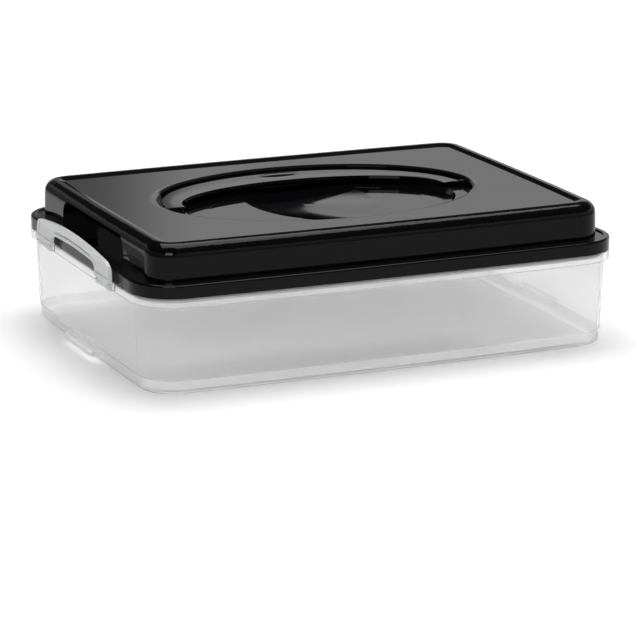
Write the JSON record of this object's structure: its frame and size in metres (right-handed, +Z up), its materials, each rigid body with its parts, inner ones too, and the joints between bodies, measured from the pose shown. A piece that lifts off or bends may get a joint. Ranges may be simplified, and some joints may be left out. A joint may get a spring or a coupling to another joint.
{
  "type": "cake carrier",
  "caption": "Rectangular clear tub with a domed black lid, a bail handle that folds into an oval recess, and a bow-shaped latch on each short end.",
  "frame": {"origin": "middle of the base, on the surface that the carrier stands on", "axes": "+X along the length towards the right latch, +Y towards the back where the handle lies, +Z up"},
  "size_m": [0.4698, 0.3368, 0.1281],
  "materials": {
    "clear_plastic": "clear, slightly cloudy polypropylene",
    "black_plastic": "polished black polypropylene",
    "handle_plastic": "polished black polypropylene",
    "white_plastic": "milky white polypropylene"
  },
  "bodies": {
    "tub": {"tub": "clear_plastic"},
    "lid": {"lid": "black_plastic"},
    "handle": {"handle": "handle_plastic"},
    "latch_left": {"latch_left": "white_plastic"},
    "latch_right": {"latch_right": "white_plastic"}
  },
  "joints": [
    {"name": "lid_lift", "type": "slide", "parent": "tub", "child": "lid", "axis": [0, 0, 1], "range_m": [0, 0.12]},
    {"name": "handle_fold", "type": "hinge", "parent": "lid", "child": "handle", "pos_m": [0, 0, 0.1217], "axis": [1, 0, 0], "range_deg": [0, 95]},
    {"name": "latch_left_swing", "type": "hinge", "parent": "tub", "child": "latch_left", "pos_m": [-0.2305, 0, 0.082], "axis": [0, -1, 0], "range_deg": [0, 165]},
    {"name": "latch_right_swing", "type": "hinge", "parent": "tub", "child": "latch_right", "pos_m": [0.2305, 0, 0.082], "axis": [0, 1, 0], "range_deg": [0, 165]}
  ]
}
